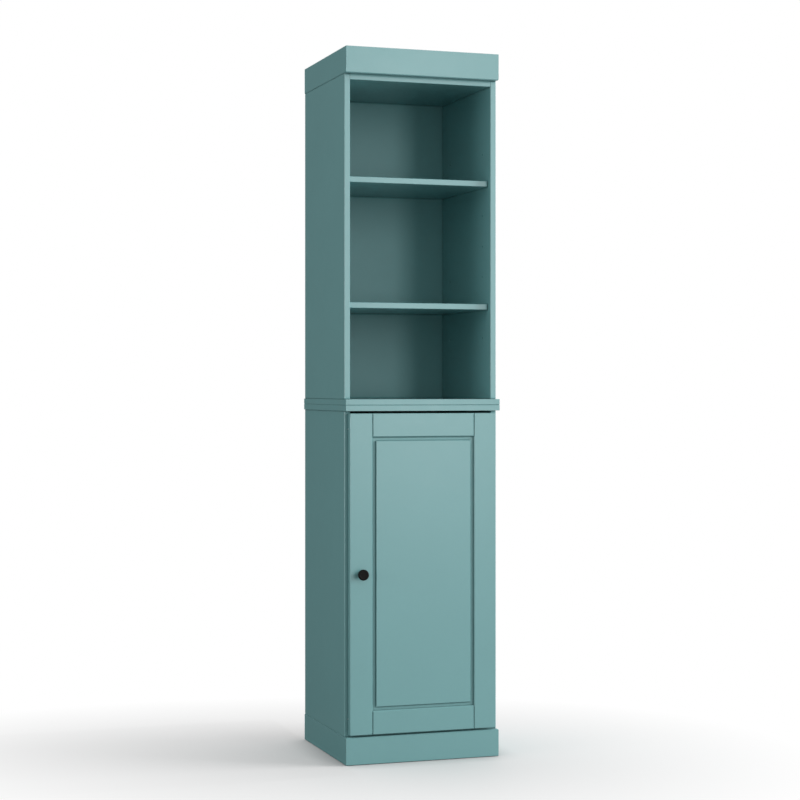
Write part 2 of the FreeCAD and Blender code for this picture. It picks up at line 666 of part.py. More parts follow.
def make_hutch():
    bottom = flat_board("hutch_bottom", "band_width", "band_depth", "band_left", "band_front",
                        "hutch_bottom_base")
    band_dowel_holes(bottom, from_above=True)
    unit_screw_holes(bottom, "unit_screw_diameter + 2 * screw_clearance",
                     "unit_screw_length + unit_screw_head_height - board + screw_clearance")
    ease(bottom, "ZMin")

    for label, on_left in (("hutch_left_side", True), ("hutch_right_side", False)):
        body = side_board(label, "hutch_height", "hutch_base", on_left)
        pin_columns(body, on_left, "hutch_first_row", "hutch_pin_row_count")
        cam_bolt_holes(body, on_left, "hutch_height - board / 2")
        end_dowel_holes(body, "0", True)
        ease(body)

    top = flat_board("hutch_top", "inner_width", "inner_depth", "inner_left", "front", "hutch_top_base")
    cam_seats(top, from_above=True)
    sketch = new_sketch(top, "XY_Plane", "board")
    for side in ("-", "+"):
        circle(sketch, f"inner_width / 2 {side} bracket_screw_spacing / 2",
               "carcass_depth - bracket_screw_setback", "bracket_screw_diameter + 2 * screw_clearance")
    pocket(top, sketch, "bracket_screw_length - bracket_thickness + screw_clearance")
    ease(top, "ZMin")
    back_board("hutch_back", "hutch_height", "hutch_base")

    shelf("upper_shelf", "shelf_recess", "upper_shelf_height")
    shelf("middle_shelf", "shelf_recess", "middle_shelf_height")
    group("hutch_shelf_pins", shelf_pins("upper_pin", "upper_shelf_height")
          + shelf_pins("middle_pin", "middle_shelf_height"))


# Connectors inside the boards
def cam_lock(name, x, y, base, bolt_height, faces_left):
    """A cam with the sideways hole that takes its bolt, at a height above the cam's base."""
    drum = rod(name + "_drum", "cam_diameter", "cam_depth")
    mouth = rod(name + "_mouth", "cam_bolt_diameter + 2 * screw_clearance", "cam_diameter")
    turn(mouth, (0, 1, 0), 270 if faces_left else 90)
    lock = doc.addObject("Part::Cut", name)
    lock.Base = drum
    lock.Tool = mouth
    bind(mouth, ".Placement.Base.z", bolt_height)
    put(lock, x, y, base)
    return lock


def make_connectors():
    locks = []
    bolts = []
    ends = (
        (True, "inner_left + cam_setback", "inner_left - cam_bolt_depth"),
        (False, "inner_right - cam_setback", "inner_right - cam_setback + cam_bolt_tip"),
    )
    boards = (
        ("lower_cam", "lower_base", "board / 2"),
        ("hutch_cam", "cornice_base - cam_depth", "cam_depth - board / 2"),
    )
    for name, base, bolt_height in boards:
        for faces_left, cam_x, bolt_x in ends:
            for y in ("front + connector_setback", "front + rear_connector_setback"):
                locks.append(cam_lock(name, cam_x, y, base, bolt_height, faces_left))
                bolt = rod(name + "_bolt", "cam_bolt_diameter", "cam_bolt_depth + cam_setback - cam_bolt_tip")
                turn(bolt, (0, 1, 0), 90)
                put(bolt, bolt_x, y, f"{base} + {bolt_height}")
                bolts.append(bolt)
    group("cam_locks", locks)
    group("cam_bolts", bolts)

    dowels = []
    for x in ("left + board / 2", "right - board / 2"):
        for y in ("front + connector_setback", "front + rear_connector_setback"):
            for joint in ("lower_top_base", "hutch_base"):
                dowel = rod("dowel", "dowel_diameter", "2 * dowel_depth")
                put(dowel, x, y, f"{joint} - dowel_depth")
                dowels.append(dowel)
    group("dowels", dowels)

    screws = []
    for x in ("inner_left + unit_screw_setback", "inner_right - unit_screw_setback"):
        for y in ("front + connector_setback", "front + rear_connector_setback"):
            item = screw("unit_screw", "unit_screw_diameter", "unit_screw_length", "unit_screw_head",
                         "unit_screw_head_height")
            put(item, x, y, "lower_top_base + unit_screw_head_height")
            screws.append(item)
    group("unit_screws", screws)


# Door: stiles, rails and a raised panel held in their grooves
def stile(label, on_left):
    """A full-height stile with the panel groove and a bevel along its inner edge."""
    body = keep(new_body(label), label)
    sketch = new_sketch(body, "XY_Plane")
    if on_left:
        place, outer, inner = "door_left", "0", "frame_width"
        deep, bevel = "frame_width - groove_depth", "frame_width - joint_bevel"
    else:
        place, outer, inner = "door_right - frame_width", "frame_width", "0"
        deep, bevel = "groove_depth", "joint_bevel"
    outline(sketch, [
        (outer, "0"), (bevel, "0"), (inner, "joint_bevel"),
        (inner, "groove_setback"), (deep, "groove_setback"), (deep, "groove_back"), (inner, "groove_back"),
        (inner, "door_thickness"), (outer, "door_thickness"),
    ])
    pad(body, sketch, "door_height")
    ease(body)
    put(body, place, "door_front", "door_base")
    return body


def rail(label, groove_on_top, base):
    """A rail with bevelled ends, a tenon at each end and the panel groove along its inner edge."""
    body = keep(new_body(label), label)
    sketch = new_sketch(body, "XY_Plane")
    outline(sketch, [
        ("joint_bevel", "0"), ("rail_length - joint_bevel", "0"), ("rail_length", "joint_bevel"),
        ("rail_length", "door_thickness"), ("0", "door_thickness"), ("0", "joint_bevel"),
    ])
    pad(body, sketch, "frame_width")

    tenon = new_sketch(body, "XY_Plane", "0" if groove_on_top else "groove_depth")
    rectangle(tenon, "0 - tongue_reach", "groove_setback + tongue_play",
              "rail_length + tongue_reach", "groove_back - tongue_play")
    pad(body, tenon, "frame_width - groove_depth")

    groove = new_sketch(body, "XY_Plane", "frame_width" if groove_on_top else "0")
    rectangle(groove, "0 - groove_depth", "groove_setback", "rail_length + groove_depth", "groove_back")
    pocket(body, groove, "groove_depth", along_normal=not groove_on_top)

    edge_height = value("frame_width") if groove_on_top else 0
    dress(body, "PartDesign::Chamfer", "Size", "joint_bevel",
          lambda edge: front_edge_at(edge, edge_height))
    ease(body)
    put(body, "door_left + frame_width", "door_front", base)


def front_edge_at(edge, height):
    """Whether an edge lies along X in the front face at a height."""
    box = edge.BoundBox
    level = abs(box.ZMin - height) < Part.Precision.confusion() and box.ZLength < Part.Precision.confusion()
    return level and abs(box.YMax) < Part.Precision.confusion()


def make_panel():
    """A panel whose thin rim sits in the grooves and whose raised field is level with the frame."""
    body = keep(new_body("door_panel"), "door_panel")
    rim = new_sketch(body, "XZ_Plane", "0 - groove_setback - tongue_play")
    rectangle(rim, "0 - tongue_reach", "0 - tongue_reach", "rail_length + tongue_reach",
              "panel_opening_height + tongue_reach")
    pad(body, rim, "groove_width - 2 * tongue_play", reverse=True)

    field = new_sketch(body, "XZ_Plane")
    rectangle(field, "channel_width", "channel_width", "rail_length - channel_width",
              "panel_opening_height - channel_width")
    pad(body, field, "groove_setback + tongue_play", reverse=True)
    dress(body, "PartDesign::Chamfer", "Size", "field_bevel",
          lambda edge: abs(edge.BoundBox.YMax) < Part.Precision.confusion())
    put(body, "door_left + frame_width", "door_front", "door_base + frame_width")


def make_knob():
    """A turned knob: foot, neck and a round head with a shallow dish in its face."""
    body = keep(new_body("door_knob"), "door_knob")
    sketch = new_sketch(body, "XY_Plane")
    hole = "knob_screw_diameter / 2 + screw_clearance"
    head_back = "knob_projection - knob_head_height"
    outline(sketch, [
        (hole, "0"), ("knob_base_diameter / 2", "0"), ("knob_base_diameter / 2", "knob_base_height / 2"),
        ("knob_neck_diameter / 2", "knob_base_height"),
        ("knob_neck_diameter / 2", f"{head_back} - knob_base_height"),
        ("knob_diameter / 2", head_back), ("knob_diameter / 2", "knob_projection"),
        ("knob_dish_diameter / 2", "knob_projection"),
        ("knob_dish_diameter / 2 - knob_dish_depth", "knob_projection - knob_dish_depth"),
        ("0", "knob_projection - knob_dish_depth"), ("0", "knob_screw_depth"), (hole, "knob_screw_depth"),
    ])
    turned = body.newObject("PartDesign::Revolution", "knob_turned")
    turned.Profile = sketch
    turned.ReferenceAxis = (sketch, ["V_Axis"])
    doc.recompute()
    rim_radius = value("knob_diameter") / 2
    dress(body, "PartDesign::Fillet", "Radius", "knob_edge_round",
          lambda edge: is_circle(edge, rim_radius))
    turn(body, (0, 0, 1), 180)
    put(body, "knob_x", "door_front", "knob_z")

    length = "door_thickness + knob_screw_depth - knob_screw_room"
    item = screw("knob_screw_body", "knob_screw_diameter", length, "knob_screw_head",
                 "knob_screw_head_height")
    turn(item, (1, 0, 0), 90)
    put(item, "knob_x", "door_back", "knob_z")
    keep(item, "knob_screw")


def is_circle(edge, radius):
    """Whether an edge is a circle of a given radius."""
    same = isinstance(edge.Curve, Part.Circle)
    return same and abs(edge.Curve.Radius - radius) < Part.Precision.confusion()


def make_door():
    left = stile("door_left_stile", True)
    hole = new_sketch(left, "XZ_Plane", "0 - door_thickness - overrun")
    circle(hole, "frame_width / 2", "door_height / 2", "knob_screw_diameter + 2 * screw_clearance")
    pocket(left, hole, "door_thickness + 2 * overrun", along_normal=True)

    right = stile("door_right_stile", False)
    heights = ("hinge_end_distance", "door_height - hinge_end_distance")
    bores = new_sketch(right, "XZ_Plane", "0 - door_thickness")
    for height in heights:
        circle(bores, "frame_width - cup_edge_distance", height, "cup_diameter")
    pocket(right, bores, "cup_depth", along_normal=True)
    pilots = new_sketch(right, "XZ_Plane", "0 - door_thickness")
    for height in heights:
        for side in ("-", "+"):
            circle(pilots, "frame_width - cup_edge_distance - cup_flange_shift",
                   f"{height} {side} cup_screw_spacing / 2", "cup_screw_diameter + 2 * screw_clearance")
    pocket(right, pilots, "cup_screw_length", along_normal=True)

    rail("door_top_rail", False, "door_base + door_height - frame_width")
    rail("door_bottom_rail", True, "door_base")
    make_panel()
    make_knob()


# Concealed hinges: a cup in the door, turning on a pin in the eye of a bent arm on the right side
def hinge_plate_holes(body):
    """Holes in the right side for the screws of both mounting plates."""
    centres = []
    for height in ("lower_hinge_z - lower_base", "upper_hinge_z - lower_base"):
        for side in ("-", "+"):
            centres.append(("plate_setback", f"{height} {side} plate_screw_spacing / 2"))
    inner_face_holes(body, False, centres, "plate_screw_diameter + 2 * screw_clearance",
                     "plate_screw_length - plate_thickness + screw_clearance")


def hinge_cup(label, height):
    """A pressed cup with a flange on the door's back and two holes for the pin."""
    body = keep(new_body(label), label)
    drum = new_sketch(body, "XZ_Plane")
    circle(drum, "0", "0", "cup_diameter - 2 * cup_clearance")
    pad(body, drum, "cup_depth - cup_clearance")

    rim = new_sketch(body, "XZ_Plane")
    circle(rim, "0", "0", "cup_diameter + 2 * cup_rim")
    pad(body, rim, "cup_flange_thickness", reverse=True)
    flange = new_sketch(body, "XZ_Plane")
    rectangle(flange, "0 - cup_flange_shift - cup_flange_width / 2", "0 - cup_flange_length / 2",
              "cup_flange_width / 2 - cup_flange_shift", "cup_flange_length / 2")
    pad(body, flange, "cup_flange_thickness", reverse=True)
    corner = value("cup_flange_length") / 2
    dress(body, "PartDesign::Fillet", "Radius", "cup_screw_head / 2",
          lambda edge: is_corner(edge, corner))

    mouth = new_sketch(body, "XZ_Plane", "0 - cup_flange_thickness")
    circle(mouth, "0", "0", "cup_diameter - 2 * cup_wall")
    pocket(body, mouth, "cup_flange_thickness + cup_depth - cup_bottom", along_normal=True)

    screws = new_sketch(body, "XZ_Plane", "0 - cup_flange_thickness - overrun")
    for side in ("0 -", ""):
        circle(screws, "0 - cup_flange_shift", f"{side} cup_screw_spacing / 2",
               "cup_screw_diameter + 2 * screw_clearance")
    pocket(body, screws, "cup_flange_thickness + 2 * overrun", along_normal=True)

    bore = new_sketch(body, "XY_Plane", "0 - cup_diameter / 2")
    circle(bore, "cup_to_pivot", "0 - pivot_from_back", "hinge_pin_diameter + 2 * hinge_pin_clearance")
    pocket(body, bore, "cup_diameter", along_normal=True)
    put(body, "cup_x", "door_back", height)


def is_corner(edge, height):
    """Whether an edge runs along Y at a distance above or below the middle."""
    box = edge.BoundBox
    upright = box.XLength < Part.Precision.confusion() and box.ZLength < Part.Precision.confusion()
    return upright and abs(abs(box.ZMin) - height) < Part.Precision.confusion()


def hinge_arm(label, height):
    """An arm whose eye turns on the pin, whose neck leaves the cup, and whose channel sits on the plate."""
    body = keep(new_body(label), label)
    base = "0 - arm_width / 2"
    eye = new_sketch(body, "XY_Plane", base)
    circle(eye, "0", "0", "eye_diameter")
    pad(body, eye, "arm_width")

    neck = new_sketch(body, "XY_Plane", base)
    half = "neck_thickness / 2"
    outline(neck, [
        ("0", f"0 - {half}"), ("arm_outer", f"0 - {half}"), ("arm_outer", "arm_rear"),
        ("arm_seat", "arm_rear"), ("arm_seat", "arm_front"),
        ("arm_outer + neck_thickness", "arm_front"), ("arm_outer + neck_thickness", half), ("0", half),
    ])
    pad(body, neck, "arm_width")
    bend_x = value("arm_outer")
    bend_y = -value("neck_thickness") / 2
    dress(body, "PartDesign::Fillet", "Radius", "neck_round",
          lambda edge: is_upright_at(edge, bend_x, bend_y))

    channel = new_sketch(body, "XY_Plane", "arm_wall - arm_width / 2")
    rectangle(channel, "arm_outer + arm_wall", "arm_front + arm_wall",
              "arm_seat + overrun", "arm_rear + overrun")
    pocket(body, channel, "arm_width - 2 * arm_wall", along_normal=True)

    fixing = new_sketch(body, "YZ_Plane", "arm_outer - overrun")
    for place in ("fixing_screw_y", "adjusting_screw_y"):
        circle(fixing, f"{place} - pivot_y", "0", "arm_screw_diameter + 2 * screw_clearance")
    pocket(body, fixing, "arm_wall + 2 * overrun", along_normal=True)

    bore = new_sketch(body, "XY_Plane", base)
    circle(bore, "0", "0", "hinge_pin_diameter + 2 * hinge_pin_clearance")
    pocket(body, bore, "arm_width", along_normal=True)
    put(body, "pivot_x", "pivot_y", height)


def is_upright_at(edge, x, y):
    """Whether an edge runs along Z at a place."""
    box = edge.BoundBox
    upright = box.XLength < Part.Precision.confusion() and box.YLength < Part.Precision.confusion()
    near = math.hypot(box.XMin - x, box.YMin - y)
    return upright and near < Part.Precision.confusion()


def hinge_plate(label, height):
    """A winged plate on the right side with a rib that the arm's channel covers."""
    body = keep(new_body(label), label)
    wings = new_sketch(body, "YZ_Plane")
    rectangle(wings, "plate_setback - plate_width / 2", "0 - plate_length / 2",
              "plate_setback + plate_width / 2", "plate_length / 2")
    pad(body, wings, "plate_thickness", reverse=True)
    dress(body, "PartDesign::Fillet", "Radius", "plate_round",
          lambda edge: edge.BoundBox.YLength + edge.BoundBox.ZLength < Part.Precision.confusion())
    foot = new_sketch(body, "YZ_Plane")
    rectangle(foot, "arm_start + arm_length - boss_length", "0 - arm_width / 2",
              "arm_start + arm_length", "arm_width / 2")
    pad(body, foot, "plate_thickness", reverse=True)
    rib = new_sketch(body, "YZ_Plane")
    rectangle(rib, "arm_start + arm_length - boss_length", "0 - boss_width / 2",
              "arm_start + arm_length", "boss_width / 2")
    pad(body, rib, "plate_thickness + boss_height", reverse=True)

    holes = new_sketch(body, "YZ_Plane")
    for side in ("0 -", ""):
        circle(holes, "plate_setback", f"{side} plate_screw_spacing / 2",
               "plate_screw_diameter + 2 * screw_clearance")
    pocket(body, holes, "plate_thickness + overrun")
    tapped = new_sketch(body, "YZ_Plane", "0 - plate_thickness - boss_height")
    for place in ("fixing_screw_y", "adjusting_screw_y"):
        circle(tapped, f"{place} - front", "0", "arm_screw_diameter + 2 * screw_clearance")
    pocket(body, tapped, "boss_height", along_normal=True)
    put(body, "inner_right", "front", height)


def make_hinges():
    cup_screws = []
    plate_screws = []
    arm_screws = []
    for name, height in (("upper", "upper_hinge_z"), ("lower", "lower_hinge_z")):
        hinge_cup(f"{name}_hinge_cup", height)
        hinge_arm(f"{name}_hinge_arm", height)
        hinge_plate(f"{name}_hinge_plate", height)

        half_chord = ("sqrt(pow(cup_diameter / 2 - 2 * cup_clearance, 2)"
                      " - pow(cup_to_pivot + hinge_pin_diameter / 2, 2))")
        pin = rod(f"{name}_pin", "hinge_pin_diameter", f"2 * {half_chord}")
        put(pin, "pivot_x", "pivot_y", f"{height} - {half_chord}")
        keep(pin, f"{name}_hinge_pin")

        for side in ("-", "+"):
            item = screw("cup_screw", "cup_screw_diameter",
                         "cup_screw_length + cup_flange_thickness - screw_clearance",
                         "cup_screw_head", "cup_screw_head_height")
            turn(item, (1, 0, 0), 90)
            put(item, "cup_x - cup_flange_shift", "door_back + cup_flange_thickness",
                f"{height} {side} cup_screw_spacing / 2")
            cup_screws.append(item)
            item = screw("plate_screw", "plate_screw_diameter", "plate_screw_length", "plate_screw_head",
                         "plate_screw_head_height")
            turn(item, (0, 1, 0), 90)
            put(item, "inner_right - plate_thickness", "front + plate_setback",
                f"{height} {side} plate_screw_spacing / 2")
            plate_screws.append(item)

        for y in ("fixing_screw_y", "adjusting_screw_y"):
            item = screw("arm_screw", "arm_screw_diameter", "arm_seat - arm_outer", "arm_screw_head",
                         "arm_screw_head_height")
            turn(item, (0, 1, 0), 90)
            put(item, "pivot_x + arm_outer", y, height)
            arm_screws.append(item)
    group("hinge_cup_screws", cup_screws)
    group("hinge_plate_screws", plate_screws)
    group("hinge_arm_screws", arm_screws)


def make_bumpers():
    bumpers = []
    for z in ("door_base + bumper_setback", "door_base + door_height - bumper_setback"):
        bumper = rod("bumper", "bumper_diameter", "door_standoff - bumper_gap")
        turn(bumper, (1, 0, 0), 90)
        put(bumper, "bumper_x", "front", z)
        bumpers.append(bumper)
    group("door_bumpers", bumpers)


def make_wall_bracket():
    """A bent strap on the hutch's top board, with a hole for a screw into the wall."""
    body = keep(new_body("wall_bracket"), "wall_bracket")
    sketch = new_sketch(body, "YZ_Plane")
    outline(sketch, [
        ("0", "0"), ("0", "bracket_rise"), ("0 - bracket_thickness", "bracket_rise"),
        ("0 - bracket_thickness", "bracket_thickness"), ("0 - bracket_foot", "bracket_thickness"),
        ("0 - bracket_foot", "0"),
    ])
    pad(body, sketch, "bracket_width")
    rise = value("bracket_rise")
    dress(body, "PartDesign::Fillet", "Radius", "bracket_round",
          lambda edge: is_corner(edge, rise))
    wall_hole = new_sketch(body, "XZ_Plane", "0 - overrun")
    circle(wall_hole, "bracket_width / 2", "wall_hole_height", "wall_hole_diameter")
    pocket(body, wall_hole, "bracket_thickness + 2 * overrun", along_normal=True)
    foot_holes = new_sketch(body, "XY_Plane", "bracket_thickness")
    for side in ("-", "+"):
        circle(foot_holes, f"bracket_width / 2 {side} bracket_screw_spacing / 2", "0 - bracket_screw_setback",
               "bracket_screw_diameter + 2 * screw_clearance")
    pocket(body, foot_holes, "bracket_thickness")
    put(body, "0 - bracket_width / 2", "rear", "cornice_base")

    screws = []
    for side in ("0 -", ""):
        item = screw("bracket_screw", "bracket_screw_diameter", "bracket_screw_length", "bracket_screw_head",
                     "bracket_screw_head_height")
        turn(item, (1, 0, 0), 180)
        put(item, f"{side} bracket_screw_spacing / 2", "rear - bracket_screw_setback",
            "cornice_base + bracket_thickness")
        screws.append(item)
    group("wall_bracket_screws", screws)


def write_parts():
    """See that every object is sound, then write one file for each sub-part."""
    doc.recompute()
    for thing in doc.Objects:
        if "Invalid" in thing.State or "Error" in thing.State:
            raise RuntimeError(f"{thing.Label} failed: {thing.State}")
    for node in nodes:
        if node.Shape.isNull() or not node.Shape.isValid() or not node.Shape.Solids:
            raise RuntimeError(f"{node.Label} has no sound shape")
    os.makedirs("parts", exist_ok=True)
    for node in nodes:
        node.Shape.exportStep(f"parts/{node.Label}.step")
    print(f"{len(nodes)} sub-parts written")


make_plinth()
make_lower_unit()
make_hutch()
make_cornice()
make_connectors()
make_door()
make_hinges()
make_bumpers()
make_wall_bracket()
write_parts()
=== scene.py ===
import json
import math

import bmesh
import bpy
from mathutils import Matrix, Vector


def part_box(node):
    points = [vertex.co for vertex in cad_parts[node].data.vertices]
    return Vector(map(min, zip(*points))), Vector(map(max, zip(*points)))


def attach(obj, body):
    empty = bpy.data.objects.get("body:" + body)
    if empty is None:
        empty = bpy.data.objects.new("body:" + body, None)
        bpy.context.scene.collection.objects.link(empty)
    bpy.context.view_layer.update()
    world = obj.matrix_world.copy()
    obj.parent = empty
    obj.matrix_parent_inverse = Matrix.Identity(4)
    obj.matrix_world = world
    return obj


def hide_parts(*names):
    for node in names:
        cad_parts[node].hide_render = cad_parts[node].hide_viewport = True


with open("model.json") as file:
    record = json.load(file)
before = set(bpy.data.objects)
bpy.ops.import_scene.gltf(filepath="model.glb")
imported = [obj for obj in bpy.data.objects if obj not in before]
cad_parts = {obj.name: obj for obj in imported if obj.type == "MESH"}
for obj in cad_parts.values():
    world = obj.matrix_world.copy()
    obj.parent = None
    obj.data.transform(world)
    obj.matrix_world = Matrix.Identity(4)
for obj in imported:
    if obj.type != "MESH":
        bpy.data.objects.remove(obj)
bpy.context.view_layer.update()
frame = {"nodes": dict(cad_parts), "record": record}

NODES = frame["nodes"]
SLOT_OF = {row["node"]: row["material_slot"] for row in frame["record"]["subparts"]}
BODIES = frame["record"]["behaviour"]["bodies"]
BODY_OF = {node: body for body, members in BODIES.items() for node in members}

# Camera, fitted to the photograph's edges: level, with a small shift down the frame
CAMERA_PLACE = (-1.6404, -4.8796, 0.9717)
CAMERA_YAW = math.radians(18.553)
CAMERA_LENS = 86.05
CAMERA_SENSOR = 36.0
IMAGE_SIZE = 800
HORIZON_PIXEL = 387.6

# Lights: name, place, point aimed at, width, height, power; and the surround's strength as light
LIGHTS = [
    ("front_softbox", (1.60, -4.90, 1.85), (0.0, -0.17, 1.40), 0.9, 2.9, 41.0),
    ("right_softbox", (7.40, -2.73, 2.30), (0.0, -0.17, 0.70), 4.2, 3.6, 700.0),
    ("left_fill", (-4.90, -1.00, 1.30), (0.0, 0.0, 0.90), 2.0, 2.0, 54.0),
]
AMBIENT = 0.612
WHITE = (1.0, 1.0, 1.0, 1.0)

# Floor: its shade to the eye and to bounced light, a glow of painted light that fades it to white
# over a range of distances, later along the shadow, and painted contact shade, a dark line where
# the plinth meets it
FLOOR_HALF = 9.0
FLOOR_TONE = 0.76
FLOOR_BOUNCE = 0.17
FLOOR_ROUGHNESS = 0.6
FLOOR_GLOSS = 0.1
# Painted light: the floor glows white, more with distance from the cabinet and less along the cast
# shadow
GLOW_CENTRE = (0.05, -0.18, 0.0)
GLOW_RANGE = (0.06, 1.0)
SHADOW_WAY = (-0.9, 0.436, 0.0)
SHADOW_SHARE = 0.4
# Painted contact shade: the floor's colour darkens within this reach of the cabinet, down to this
# share
CONTACT_REACH = 0.07
CONTACT_PAINTED_SHADE = 0.5

# Bent dark card on the floor by the left side and upright behind it, seen in reflections alone: a
# painted dark reflection that keeps the white surround out of that side's sheen
CARD_LEFT = -1.6
CARD_RIGHT = -0.211
CARD_FRONT = -0.3
CARD_BACK = 0.55
CARD_BASE = 0.001
CARD_TOP = 2.6
CARD_GREY = (0.086, 0.086, 0.086)
CARD_ROUGHNESS = (0.9, 1.0)

# The finishes below are given by linear colours, noises (scale per metre, octaves), ranges of
# tone or roughness (low, high), bumps (strength, depth in metres) and, for grain that runs one
# way, the share of each axis in the noise

# Sprayed satin paint: painted shade darkens it in the joints' crevices and inner corners, and it is
# duller in the recesses
PAINT = (0.148, 0.336, 0.344)
PAINT_GLOSS = 0.67
PAINT_CLOUDS = (5.0, 3.0)
PAINT_CLOUD_TONES = (0.965, 1.035)
PAINT_MOTTLE = (90.0, 4.0)
PAINT_MOTTLE_TONES = (0.985, 1.015)
PAINT_SHEEN = (35.0, 4.0)
PAINT_ROUGHNESS = (0.27, 0.34)
PAINT_GRAIN = (420.0, 3.0)
PAINT_BUMP = (0.10, 0.0002)
# Painted shade in crevices and corners: how near another surface must stand, and the darkest share
# of the colour
CREVICE_REACH = 0.004
CREVICE_PAINTED_SHADE = 0.15
RECESS_REACH = 0.012
RECESS_LIMITS = (0.6, 0.95)
RECESS_ROUGHNESS = 0.8

# Back panels: the same paint, made a little lighter as painted light, and duller, and raw hardboard
# behind
BACK_PAINTED_LIGHT = 1.1
BACK_GLOSS = 0.4
BACK_DULLER = 0.14
BACK_BUMP = (0.15, 0.0003)
HARDBOARD = (0.235, 0.135, 0.072)
HARDBOARD_ROUGHNESS = 0.85
HARDBOARD_GRAIN = (1.0, 1.0, 0.35)
HARDBOARD_FIBRES = (700.0, 5.0)
HARDBOARD_FIBRE_TONES = (0.72, 1.28)
HARDBOARD_BLOTCHES = (14.0, 3.0)
HARDBOARD_BLOTCH_TONES = (0.88, 1.12)
HARDBOARD_SCREEN = {"Scale": 520.0, "Distortion": 0.3, "Detail": 1.0}

# Softwood of the glue blocks and dowels
PINE_LIGHT = (0.66, 0.47, 0.28)
PINE_DARK = (0.47, 0.29, 0.14)
PINE_GRAIN = (1.0, 1.0, 0.06)
PINE_RINGS = (170.0, 3.0)
PINE_LATE_LIMITS = (0.42, 0.62)
PINE_PORES = (1400.0, 3.0)
PINE_PORE_SHARES = (0.0, 0.5)
PINE_ROUGHNESS = (0.55, 0.78)
PINE_BUMP = (0.25, 0.0002)

# Nickel-plated steel
NICKEL = (0.60, 0.585, 0.55)
NICKEL_GRAIN = (1.0, 0.05, 1.0)
NICKEL_LINES = (2600.0, 3.0)
NICKEL_CLOUDS = (60.0, 4.0)
NICKEL_TONES = (0.88, 1.10)
NICKEL_ROUGHNESS = (0.20, 0.40)
NICKEL_BUMP = (0.08, 0.0001)

# Die-cast zinc
ZINC = (0.44, 0.45, 0.46)
ZINC_BLOTCH_SCALE = 420.0
ZINC_TONES = (0.80, 1.12)
ZINC_PITS = (1800.0, 4.0)
ZINC_ROUGHNESS = (0.38, 0.60)
ZINC_BUMP = (0.2, 0.0001)

# Matt coat of the knob, the glides and the card
KNOB_BLACK = (0.0055, 0.0055, 0.005)
KNOB_ROUGHNESS = (0.42, 0.56)
GLIDE_BLACK = (0.022, 0.022, 0.022)
GLIDE_ROUGHNESS = (0.40, 0.60)
COAT_GLOSS = 0.08
COAT_CLOUDS = (120.0, 4.0)
COAT_TONES = (0.85, 1.15)
COAT_GRAIN = (1500.0, 3.0)
COAT_BUMP = (0.12, 0.0001)

# Silicone of the bumpers
SILICONE = (0.72, 0.75, 0.75)
SILICONE_CLOUDS = (500.0, 3.0)
SILICONE_TONES = (0.93, 1.07)
SILICONE_ROUGHNESS = (0.25, 0.40)
SILICONE_CLARITY = 0.45

# Small fasteners: profiles are pairs of shares of a form's radius and height, and the cross
# recess is given in shares of its head
CROSSED_NODES = ("hinge_cup_screws", "hinge_plate_screws", "hinge_arm_screws", "knob_screw",
                 "unit_screws", "wall_bracket_screws")
TURN_STEPS = 32
WELD_DISTANCE = 1e-6
LEVEL_DIGITS = 6
SHARP_ANGLE = math.radians(40)
CROSS_REACH_SHARE = 0.56
CROSS_HALF_WIDTH_SHARE = 0.13
CROSS_DEPTH_SHARE = 0.62
CROSS_TAPER_SHARE = 0.72
TIP_SHARE = 1.4
HEAD_PROFILE = ((1.0, 0.0), (1.0, 0.40), (0.95, 0.68), (0.83, 0.89), (0.66, 1.0))
CAM_EDGE = 0.0004
CAM_CROSS_SHARE = 0.75
CAM_CROSS_DEPTH_SHARE = 0.25
BUMPER_PROFILE = ((0.0, 0.0), (1.0, 0.0), (1.0, 0.35), (0.92, 0.62), (0.72, 0.83), (0.4, 0.96),
                  (0.0, 1.0))
NAIL_RADIUS = 0.0024
NAIL_RISE = 0.0005
NAIL_PITCH = 0.14
NAIL_PROFILE = ((0.0, -1.0), (1.0, -1.0), (1.0, 0.4), (0.8, 1.0), (0.0, 1.0))
# Each back panel, its unit and the board whose rear edge it is nailed to
NAILED_BACKS = (("lower_back", "lower", "lower_bottom"), ("hutch_back", "hutch", "hutch_top"))


def feed(tree, node, inputs):
    """Set or link a node's inputs, given by name or number."""
    for name, value in inputs.items():
        if isinstance(value, bpy.types.NodeSocket):
            tree.links.new(value, node.inputs[name])
        else:
            node.inputs[name].default_value = value


def add(tree, kind, inputs, **properties):
    """Add a node with its properties set and its inputs fed."""
    node = tree.nodes.new(kind)
    for name, value in properties.items():
        setattr(node, name, value)
    feed(tree, node, inputs)
    return node


def new_material(name):
    """A material, its node tree, its shader and the place of a surface point in the frame."""
    material = bpy.data.materials.new(name)
    material.use_nodes = True
    tree = material.node_tree
    place = add(tree, "ShaderNodeTexCoord", {}).outputs["Object"]
    return material, tree, tree.nodes["Principled BSDF"], place


def combined(tree, operation, first, second):
    """A number worked out from two numbers."""
    return add(tree, "ShaderNodeMath", {0: first, 1: second}, operation=operation).outputs[0]


def multiply(tree, first, second):
    return combined(tree, "MULTIPLY", first, second)


def largest(tree, first, second):
    return combined(tree, "MAXIMUM", first, second)


def vectors(tree, operation, first, second):
    """The outputs of a node that works on two vectors."""
    return add(tree, "ShaderNodeVectorMath", {0: first, 1: second}, operation=operation).outputs


def stretched(tree, place, shares):
    """A place drawn out along the axes with a small share."""
    return vectors(tree, "MULTIPLY", place, shares)["Vector"]


def shaded(tree, colour, factor):
    """A colour made lighter or darker by a factor."""
    inputs = {0: colour, "Scale": factor}
    return add(tree, "ShaderNodeVectorMath", inputs, operation="SCALE").outputs["Vector"]


def noise(tree, place, pattern):
    """Cloudy factor about one half, of a noise given by its scale per metre and its octaves."""
    scale, octaves = pattern
    inputs = {"Vector": place, "Scale": scale, "Detail": octaves}
    return add(tree, "ShaderNodeTexNoise", inputs).outputs["Fac"]


def spread(tree, factor, limits):
    """A factor from 0 to 1 mapped to a range."""
    low, high = limits
    inputs = {"Value": factor, "To Min": low, "To Max": high}
    return add(tree, "ShaderNodeMapRange", inputs).outputs["Result"]


